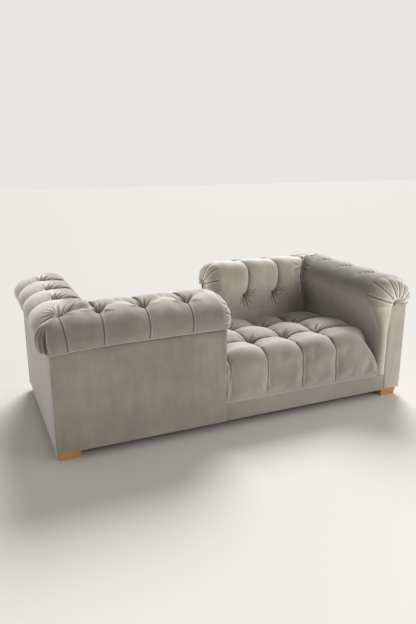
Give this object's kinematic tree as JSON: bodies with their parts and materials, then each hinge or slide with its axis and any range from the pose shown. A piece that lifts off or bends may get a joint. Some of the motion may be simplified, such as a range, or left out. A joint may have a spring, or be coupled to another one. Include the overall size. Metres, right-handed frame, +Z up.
{
  "type": "tete-a-tete sofa",
  "caption": "Low tufted sofa with one long seat and a rolled back and arm at each end, set on opposite sides so that two sitters face opposite ways.",
  "frame": {"origin": "on the floor, under the middle of the sofa", "axes": "+X along the sofa from the left arm to the right arm, +Y away from the left sitter's back towards the right sitter's back, +Z up"},
  "size_m": [2.1878, 1.1016, 0.7504],
  "materials": {
    "velvet": "short pile velvet with a soft sheen",
    "honey_wood": "satin",
    "frame_wood": "raw",
    "spring_steel": "bare wire",
    "deck_cloth": "coarse woven sheet",
    "foam": "open foam",
    "black_cloth": "thin woven cover"
  },
  "bodies": {
    "root": {"foot_front_left": "honey_wood", "foot_front_right": "honey_wood", "foot_rear_left": "honey_wood", "foot_rear_right": "honey_wood", "front_rail": "frame_wood", "rear_rail": "frame_wood", "left_side_rail": "frame_wood", "right_side_rail": "frame_wood", "centre_cross_rail": "frame_wood", "corner_block_front_left": "frame_wood", "corner_block_front_right": "frame_wood", "corner_block_rear_left": "frame_wood", "corner_block_rear_right": "frame_wood", "dust_cover": "black_cloth", "seat_spring_1": "spring_steel", "seat_spring_2": "spring_steel", "seat_spring_3": "spring_steel", "seat_spring_4": "spring_steel", "seat_spring_5": "spring_steel", "seat_spring_6": "spring_steel", "seat_spring_7": "spring_steel", "seat_spring_8": "spring_steel", "seat_deck": "deck_cloth", "seat_core": "foam", "seat_pad": "velvet", "front_seat_band": "velvet", "rear_seat_band": "velvet", "left_corner_post": "frame_wood", "left_back_end_post": "frame_wood", "left_arm_end_post": "frame_wood", "left_back_top_rail": "frame_wood", "left_arm_top_rail": "frame_wood", "left_back_tack_rail": "frame_wood", "left_outside_back": "velvet", "left_outside_arm": "velvet", "left_back_facing": "velvet", "left_arm_facing": "velvet", "left_back_pad": "velvet", "left_arm_pad": "velvet", "left_back_fan": "velvet", "left_arm_fan": "velvet", "left_back_button": "velvet", "left_arm_button": "velvet", "right_corner_post": "frame_wood", "right_back_end_post": "frame_wood", "right_arm_end_post": "frame_wood", "right_back_top_rail": "frame_wood", "right_arm_top_rail": "frame_wood", "right_back_tack_rail": "frame_wood", "right_outside_back": "velvet", "right_outside_arm": "velvet", "right_back_facing": "velvet", "right_arm_facing": "velvet", "right_back_pad": "velvet", "right_arm_pad": "velvet", "right_back_fan": "velvet", "right_arm_fan": "velvet", "right_back_button": "velvet", "right_arm_button": "velvet"}
  },
  "joints": []
}
